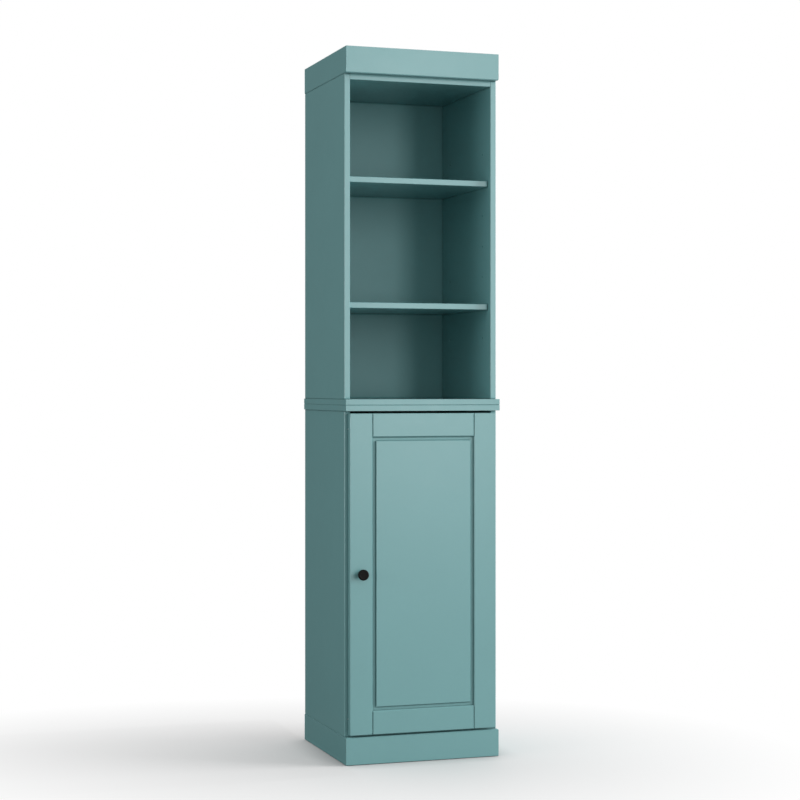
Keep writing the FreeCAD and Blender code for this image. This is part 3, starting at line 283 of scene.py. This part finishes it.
def step(tree, value, limits, shape="SMOOTHSTEP"):
    """A factor that goes from 0 to 1 as a value goes from the first limit to the second."""
    start, end = limits
    inputs = {"Value": value, "From Min": start, "From Max": end}
    return add(tree, "ShaderNodeMapRange", inputs, interpolation_type=shape).outputs["Result"]


def openness(tree, reach):
    """One where no surface is near, and less where others stand close within the reach."""
    return add(tree, "ShaderNodeAmbientOcclusion", {"Distance": reach}).outputs["AO"]


def blended(tree, factor, first, second):
    """A number between two numbers."""
    inputs = {"Factor": factor, "A": first, "B": second}
    return add(tree, "ShaderNodeMix", inputs).outputs["Result"]


def mixed(tree, factor, first, second):
    """A colour between two colours, each a triple or a socket."""
    node = add(tree, "ShaderNodeMix", {}, data_type="RGBA")
    sockets = [socket for socket in node.inputs if socket.type == "RGBA"]
    tree.links.new(factor, node.inputs["Factor"])
    for socket, colour in zip(sockets, (first, second)):
        if isinstance(colour, bpy.types.NodeSocket):
            tree.links.new(colour, socket)
        else:
            socket.default_value = (*colour, 1.0)
    return [socket for socket in node.outputs if socket.type == "RGBA"][0]


def bumped(tree, height, bump):
    """A normal from a height map, of a bump given by its strength and its depth in metres."""
    strength, distance = bump
    inputs = {"Height": height, "Strength": strength, "Distance": distance}
    return add(tree, "ShaderNodeBump", inputs).outputs["Normal"]


def paint_layer(tree, place):
    """Colour, with painted shade in crevices and corners, roughness and height of the sprayed
    paint.
    """
    clouds = spread(tree, noise(tree, place, PAINT_CLOUDS), PAINT_CLOUD_TONES)
    mottle = spread(tree, noise(tree, place, PAINT_MOTTLE), PAINT_MOTTLE_TONES)
    # Painted shade: the paint's colour is darkened where other surfaces stand close, in crevices
    # and inner corners
    crevice_painted_shade = spread(tree, openness(tree, CREVICE_REACH), (CREVICE_PAINTED_SHADE, 1.0))
    colour = shaded(tree, PAINT, multiply(tree, multiply(tree, clouds, mottle), crevice_painted_shade))
    recess = step(tree, openness(tree, RECESS_REACH), RECESS_LIMITS)
    dull = spread(tree, recess, (RECESS_ROUGHNESS, 0.0))
    satin = spread(tree, noise(tree, place, PAINT_SHEEN), PAINT_ROUGHNESS)
    return colour, largest(tree, satin, dull), noise(tree, place, PAINT_GRAIN)


def painted_board():
    material, tree, shader, place = new_material("painted_board")
    colour, roughness, height = paint_layer(tree, place)
    feed(tree, shader, {
        "Base Color": colour,
        "Roughness": roughness,
        "Normal": bumped(tree, height, PAINT_BUMP),
        "Specular IOR Level": PAINT_GLOSS,
    })
    return material


def painted_hardboard():
    """Hardboard with paint on its front and the raw, screen-marked board behind."""
    material, tree, shader, place = new_material("painted_hardboard")
    colour, roughness, height = paint_layer(tree, place)
    front, rear = (corner.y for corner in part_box("hutch_back"))
    depth = add(tree, "ShaderNodeSeparateXYZ", {0: place}).outputs["Y"]
    behind = step(tree, depth, ((front + rear) / 2, rear))
    fibres = noise(tree, stretched(tree, place, HARDBOARD_GRAIN), HARDBOARD_FIBRES)
    blotches = noise(tree, place, HARDBOARD_BLOTCHES)
    tone = multiply(tree, spread(tree, fibres, HARDBOARD_FIBRE_TONES),
                    spread(tree, blotches, HARDBOARD_BLOTCH_TONES))
    waves = {"Vector": place, **HARDBOARD_SCREEN}
    columns = add(tree, "ShaderNodeTexWave", waves, bands_direction="X").outputs["Fac"]
    rows = add(tree, "ShaderNodeTexWave", waves, bands_direction="Z").outputs["Fac"]
    relief = blended(tree, behind, height, multiply(tree, columns, rows))
    duller = combined(tree, "ADD", roughness, BACK_DULLER)
    # Painted light: the back panels' paint is made lighter than the same paint on the boards
    painted = shaded(tree, colour, BACK_PAINTED_LIGHT)
    feed(tree, shader, {
        "Base Color": mixed(tree, behind, painted, shaded(tree, HARDBOARD, tone)),
        "Roughness": blended(tree, behind, duller, HARDBOARD_ROUGHNESS),
        "Normal": bumped(tree, relief, BACK_BUMP),
        "Specular IOR Level": BACK_GLOSS,
    })
    return material


def bare_wood():
    """Softwood with its grain upright."""
    material, tree, shader, place = new_material("bare_wood")
    along = stretched(tree, place, PINE_GRAIN)
    pores = noise(tree, along, PINE_PORES)
    late = step(tree, noise(tree, along, PINE_RINGS), PINE_LATE_LIMITS)
    colour = mixed(tree, late, PINE_LIGHT, PINE_DARK)
    feed(tree, shader, {
        "Base Color": mixed(tree, spread(tree, pores, PINE_PORE_SHARES), colour, PINE_LIGHT),
        "Roughness": spread(tree, pores, PINE_ROUGHNESS),
        "Normal": bumped(tree, pores, PINE_BUMP),
    })
    return material


def plated_steel():
    """Nickel plate with faint drawn lines."""
    material, tree, shader, place = new_material("steel")
    lines = noise(tree, stretched(tree, place, NICKEL_GRAIN), NICKEL_LINES)
    clouds = noise(tree, place, NICKEL_CLOUDS)
    feed(tree, shader, {
        "Base Color": shaded(tree, NICKEL, spread(tree, clouds, NICKEL_TONES)),
        "Metallic": 1.0,
        "Roughness": spread(tree, lines, NICKEL_ROUGHNESS),
        "Normal": bumped(tree, lines, NICKEL_BUMP),
    })
    return material


def cast_zinc():
    """Dull die-cast zinc, blotchy and finely pitted."""
    material, tree, shader, place = new_material("zinc")
    cells = {"Vector": place, "Scale": ZINC_BLOTCH_SCALE}
    blotches = add(tree, "ShaderNodeTexVoronoi", cells).outputs["Distance"]
    pits = noise(tree, place, ZINC_PITS)
    feed(tree, shader, {
        "Base Color": shaded(tree, ZINC, spread(tree, blotches, ZINC_TONES)),
        "Metallic": 1.0,
        "Roughness": spread(tree, pits, ZINC_ROUGHNESS),
        "Normal": bumped(tree, pits, ZINC_BUMP),
    })
    return material


def matt_coat(name, colour, roughness):
    """Matt coated metal or moulded plastic with a fine grain."""
    material, tree, shader, place = new_material(name)
    grain = noise(tree, place, COAT_GRAIN)
    tone = spread(tree, noise(tree, place, COAT_CLOUDS), COAT_TONES)
    feed(tree, shader, {
        "Base Color": shaded(tree, colour, tone),
        "Roughness": spread(tree, grain, roughness),
        "Normal": bumped(tree, grain, COAT_BUMP),
        "Specular IOR Level": COAT_GLOSS,
    })
    return material


def silicone():
    """Soft clear plastic of the bumpers."""
    material, tree, shader, place = new_material("bumper_plastic")
    clouds = noise(tree, place, SILICONE_CLOUDS)
    feed(tree, shader, {
        "Base Color": shaded(tree, SILICONE, spread(tree, clouds, SILICONE_TONES)),
        "Roughness": spread(tree, clouds, SILICONE_ROUGHNESS),
        "Transmission Weight": SILICONE_CLARITY,
    })
    return material


MATERIALS = {
    "painted_board": painted_board(),
    "painted_hardboard": painted_hardboard(),
    "bare_wood": bare_wood(),
    "glide_plastic": matt_coat("glide_plastic", GLIDE_BLACK, GLIDE_ROUGHNESS),
    "bumper_plastic": silicone(),
    "knob_metal": matt_coat("knob_metal", KNOB_BLACK, KNOB_ROUGHNESS),
    "zinc": cast_zinc(),
    "steel": plated_steel(),
}


def dress_nodes():
    """Give each CAD node the finish of its slot."""
    for name, node in NODES.items():
        node.data.materials.clear()
        node.data.materials.append(MATERIALS[SLOT_OF[name]])


def solids(node):
    """The points of each separate solid of a CAD node."""
    copy = bmesh.new()
    copy.from_mesh(NODES[node].data)
    bmesh.ops.remove_doubles(copy, verts=copy.verts, dist=WELD_DISTANCE)
    found = []
    reached = set()
    for start in copy.verts:
        if start in reached:
            continue
        reached.add(start)
        waiting = [start]
        points = []
        while waiting:
            vertex = waiting.pop()
            points.append(vertex.co.copy())
            for edge in vertex.link_edges:
                other = edge.other_vert(vertex)
                if other not in reached:
                    reached.add(other)
                    waiting.append(other)
        found.append(points)
    copy.free()
    return found


def span(points):
    """Lowest and highest corner of some points."""
    low = Vector([min(point[axis] for point in points) for axis in range(3)])
    high = Vector([max(point[axis] for point in points) for axis in range(3)])
    return low, high


def ring(mesh, radius, height):
    """A ring of points about +Z, or one point on the axis."""
    if radius == 0:
        return [mesh.verts.new((0, 0, height))]
    angles = [2 * math.pi * index / TURN_STEPS for index in range(TURN_STEPS)]
    return [mesh.verts.new((radius * math.cos(a), radius * math.sin(a), height)) for a in angles]


def turned(mesh, profile):
    """Faces turned about +Z along (radius, height) pairs; gives back the last ring."""
    rings = [ring(mesh, radius, height) for radius, height in profile]
    for lower, upper in zip(rings, rings[1:]):
        for index in range(TURN_STEPS):
            following = (index + 1) % TURN_STEPS
            corners = [lower[index % len(lower)], lower[following % len(lower)],
                       upper[following % len(upper)], upper[index % len(upper)]]
            mesh.faces.new(list(dict.fromkeys(corners)))
    return rings[-1]


def scaled(profile, radius, height):
    """A profile in metres, from one in shares of a radius and a height."""
    return [(radius * across, height * up) for across, up in profile]


def cross_recess(mesh, rim, radius, depth):
    """Close a flat rim with a face that has a cross-shaped recess for a driver."""
    top = rim[0].co.z
    reach = radius * CROSS_REACH_SHARE
    half = radius * CROSS_HALF_WIDTH_SHARE
    corners = ((reach, -half, top), (reach, half, top), (half, half, top))
    outline = []
    for quarter in range(4):
        turn = Matrix.Rotation(quarter * math.pi / 2, 3, "Z")
        outline += [turn @ Vector(corner) for corner in corners]
    mouth = [mesh.verts.new(point) for point in outline]
    shares = Vector((CROSS_TAPER_SHARE, CROSS_TAPER_SHARE, 1.0))
    sink = Vector((0, 0, depth))
    bottom = [mesh.verts.new(point * shares - sink) for point in outline]
    pairs = list(zip(mouth, mouth[1:] + mouth[:1]))
    edges = [mesh.edges.new(pair) for pair in pairs]
    edges += [mesh.edges.get(pair) for pair in zip(rim, rim[1:] + rim[:1])]
    bmesh.ops.triangle_fill(mesh, use_beauty=True, use_dissolve=False, edges=edges,
                            normal=(0, 0, 1))
    for index, (first, second) in enumerate(pairs):
        following = (index + 1) % len(bottom)
        mesh.faces.new((second, first, bottom[index], bottom[following]))
    mesh.faces.new(bottom)


def screw_form(mesh, head_radius, head_height, shank_radius, length):
    """A pan-head screw with a cross recess; the underside of its head is at zero."""
    shank = [(0, -length), (shank_radius, shank_radius * TIP_SHARE - length), (shank_radius, 0)]
    rim = turned(mesh, shank + scaled(HEAD_PROFILE, head_radius, head_height))
    cross_recess(mesh, rim, head_radius, head_height * CROSS_DEPTH_SHARE)


def cam_form(mesh, radius, depth):
    """A cam lock whose face, with its cross recess, is at zero."""
    rim = turned(mesh, [(0, -depth), (radius, -depth), (radius, -CAM_EDGE), (radius - CAM_EDGE, 0)])
    cross_recess(mesh, rim, radius * CAM_CROSS_SHARE, depth * CAM_CROSS_DEPTH_SHARE)


def bumper_form(mesh, radius, height):
    """A domed stick-on bumper."""
    turned(mesh, scaled(BUMPER_PROFILE, radius, height))


def nail_form(mesh):
    """A flat nail head with a soft edge, just proud of the board."""
    turned(mesh, scaled(NAIL_PROFILE, NAIL_RADIUS, NAIL_RISE))


def placed(form, place, direction, *sizes):
    """A form made along +Z, moved to a place and turned to a direction."""
    mesh = bmesh.new()
    form(mesh, *sizes)
    bmesh.ops.recalc_face_normals(mesh, faces=mesh.faces)
    turn = Vector(direction).to_track_quat("Z", "Y").to_matrix().to_4x4()
    mesh.transform(Matrix.Translation(place) @ turn)
    return mesh


def join(name, meshes, body, slot):
    """One piece made of several small meshes, riding on a body."""
    data = bpy.data.meshes.new(name)
    whole = bmesh.new()
    for mesh in meshes:
        mesh.to_mesh(data)
        whole.from_mesh(data)
        mesh.free()
    whole.to_mesh(data)
    whole.free()
    data.shade_smooth()
    data.set_sharp_from_angle(angle=SHARP_ANGLE)
    data.materials.append(MATERIALS[slot])
    piece = bpy.data.objects.new(name, data)
    bpy.context.collection.objects.link(piece)
    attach(piece, body)
    return piece


def screw_of(points):
    """A detailed screw in the place of a plain one, read from its points."""
    low, high = span(points)
    size = high - low
    axis = max(range(3), key=lambda number: size[number])
    middle = (low + high) / 2
    radius_at = {}
    for point in points:
        offset = point - middle
        offset[axis] = 0
        level = round(point[axis], LEVEL_DIGITS)
        radius_at[level] = max(radius_at.get(level, 0), offset.length)
    ends = sorted(radius_at)
    head_end = max((ends[0], ends[-1]), key=lambda level: radius_at[level])
    shank_end = ends[0] if head_end == ends[-1] else ends[-1]
    under_head = ends[1] if head_end == ends[0] else ends[-2]
    direction = Vector((0, 0, 0))
    direction[axis] = 1 if head_end > shank_end else -1
    place = middle.copy()
    place[axis] = under_head
    return placed(screw_form, place, direction, radius_at[head_end], abs(head_end - under_head),
                  radius_at[shank_end], abs(under_head - shank_end))


def make_screws():
    for node in CROSSED_NODES:
        meshes = [screw_of(points) for points in solids(node)]
        piece = join(node + "_crossed", meshes, BODY_OF[node], SLOT_OF[node])
        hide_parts(node)


def make_cams():
    """Cam locks that show their face under the bottom board and over the hutch's top board."""
    meshes = []
    for points in solids("cam_locks"):
        low, high = span(points)
        upward = low.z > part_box("lower_top")[1].z
        place = (low + high) / 2
        place.z = high.z if upward else low.z
        direction = (0, 0, 1) if upward else (0, 0, -1)
        meshes.append(placed(cam_form, place, direction, (high.y - low.y) / 2, high.z - low.z))
    piece = join("cam_locks_crossed", meshes, BODY_OF["cam_locks"], SLOT_OF["cam_locks"])
    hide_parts("cam_locks")


def make_bumpers():
    meshes = []
    for points in solids("door_bumpers"):
        low, high = span(points)
        place = (low + high) / 2
        place.y = high.y
        radius = (high.x - low.x) / 2
        meshes.append(placed(bumper_form, place, (0, -1, 0), radius, high.y - low.y))
    piece = join("door_bumpers_domed", meshes, BODY_OF["door_bumpers"], SLOT_OF["door_bumpers"])
    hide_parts("door_bumpers")


def evenly(start, end):
    """Places from start to end, about a nail's pitch apart."""
    count = max(1, round(abs(end - start) / NAIL_PITCH))
    return [start + (end - start) * index / count for index in range(count + 1)]


def make_nails():
    """Nails that hold the back panels in their rebates and to a board's rear edge."""
    meshes = []
    for panel, unit, board in NAILED_BACKS:
        low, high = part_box(panel)
        left = (low.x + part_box(unit + "_left_side")[1].x) / 2
        right = (high.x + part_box(unit + "_right_side")[0].x) / 2
        board_low, board_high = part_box(board)
        level = (board_low.z + board_high.z) / 2
        far = low.z + high.z - level
        places = [(x, z) for x in (left, right) for z in evenly(level, far)]
        places += [(x, level) for x in evenly(left, right)[1:-1]]
        meshes += [placed(nail_form, (x, high.y, z), (0, 1, 0)) for x, z in places]
    join("back_panel_nails", meshes, BODY_OF["hutch_back"], "steel")


def make_camera():
    data = bpy.data.cameras.new("camera")
    data.sensor_width = CAMERA_SENSOR
    data.lens = CAMERA_LENS
    data.shift_y = (HORIZON_PIXEL - IMAGE_SIZE / 2) / IMAGE_SIZE
    camera = bpy.data.objects.new("camera", data)
    camera.location = CAMERA_PLACE
    camera.rotation_euler = (math.pi / 2, 0, -CAMERA_YAW)
    bpy.context.collection.objects.link(camera)
    bpy.context.scene.camera = camera


def make_lights():
    for name, place, target, width, height, power in LIGHTS:
        data = bpy.data.lights.new(name, "AREA")
        data.energy = power
        data.shape = "RECTANGLE"
        data.size = width
        data.size_y = height
        light = bpy.data.objects.new(name, data)
        light.location = place
        aim = Vector(target) - Vector(place)
        light.rotation_euler = aim.to_track_quat("-Z", "Y").to_euler()
        bpy.context.collection.objects.link(light)


def seen_directly(tree):
    """One for rays from the camera, from a reflection or through glass, and zero otherwise."""
    path = add(tree, "ShaderNodeLightPath", {}).outputs
    mirrored = largest(tree, path["Is Glossy Ray"], path["Is Transmission Ray"])
    return largest(tree, path["Is Camera Ray"], mirrored)


def make_world():
    """White to the eye, and a plain soft surround as light."""
    world = bpy.data.worlds.new("world")
    world.use_nodes = True
    tree = world.node_tree
    tree.nodes.clear()
    strength = spread(tree, seen_directly(tree), (AMBIENT, 1.0))
    background = add(tree, "ShaderNodeBackground", {"Color": WHITE, "Strength": strength})
    add(tree, "ShaderNodeOutputWorld", {"Surface": background.outputs[0]})
    bpy.context.scene.world = world


def sheet(name, left, right, line):
    """A sheet bent along a line of (y, z) points, that is no part of the object."""
    points = [(x, y, z) for y, z in line for x in (left, right)]
    faces = [(2 * n, 2 * n + 1, 2 * n + 3, 2 * n + 2) for n in range(len(line) - 1)]
    data = bpy.data.meshes.new(name)
    data.from_pydata(points, [], faces)
    card = bpy.data.objects.new(name, data)
    bpy.context.collection.objects.link(card)
    return card


def floor_fade(tree, place):
    """How far the painted white glow has faded the floor to white, from 0 by the cabinet to 1 away
    from it, rising more slowly along the cast shadow.
    """
    offset = vectors(tree, "SUBTRACT", place, GLOW_CENTRE)["Vector"]
    along = largest(tree, vectors(tree, "DOT_PRODUCT", offset, SHADOW_WAY)["Value"], 0.0)
    drawn = shaded(tree, SHADOW_WAY, multiply(tree, along, SHADOW_SHARE))
    away = vectors(tree, "DISTANCE", offset, drawn)["Value"]
    return step(tree, away, GLOW_RANGE, "LINEAR")


def make_floor():
    """A pale floor that keeps the cast shadow, with painted contact shade by the cabinet and a
    painted white glow that fades it to white.
    """
    floor = sheet("floor", -FLOOR_HALF, FLOOR_HALF, [(-FLOOR_HALF, 0), (FLOOR_HALF, 0)])
    material, tree, shader, place = new_material("floor")
    seen = seen_directly(tree)
    # Painted contact shade: the floor's colour and its glow are darkened where the cabinet stands
    # close
    open_air = openness(tree, CONTACT_REACH)
    tone = spread(tree, seen, (FLOOR_BOUNCE, FLOOR_TONE))
    feed(tree, shader, {
        "Base Color": multiply(tree, tone, spread(tree, open_air, (CONTACT_PAINTED_SHADE, 1.0))),
        "Roughness": FLOOR_ROUGHNESS,
        "Specular IOR Level": FLOOR_GLOSS,
    })
    # Painted light: a white emission on the floor, held back near the cabinet and along its shadow
    glow = multiply(tree, multiply(tree, floor_fade(tree, place), seen), open_air)
    white = add(tree, "ShaderNodeEmission", {"Color": WHITE, "Strength": 1.0})
    layers = {"Fac": glow, 1: shader.outputs[0], 2: white.outputs[0]}
    mix = add(tree, "ShaderNodeMixShader", layers)
    feed(tree, tree.nodes["Material Output"], {"Surface": mix.outputs[0]})
    floor.data.materials.append(material)


def make_card():
    """The dark card, which shows in reflections alone, as a painted dark reflection."""
    line = [(CARD_FRONT, CARD_BASE), (CARD_BACK, CARD_BASE), (CARD_BACK, CARD_TOP)]
    card = sheet("dark_card", CARD_LEFT, CARD_RIGHT, line)
    card.visible_camera = False
    card.visible_diffuse = False
    card.visible_shadow = False
    card.data.materials.append(matt_coat("dark_card", CARD_GREY, CARD_ROUGHNESS))


dress_nodes()
make_screws()
make_cams()
make_bumpers()
make_nails()
make_camera()
make_lights()
make_world()
make_floor()
make_card()
bpy.context.scene.view_settings.view_transform = "Standard"
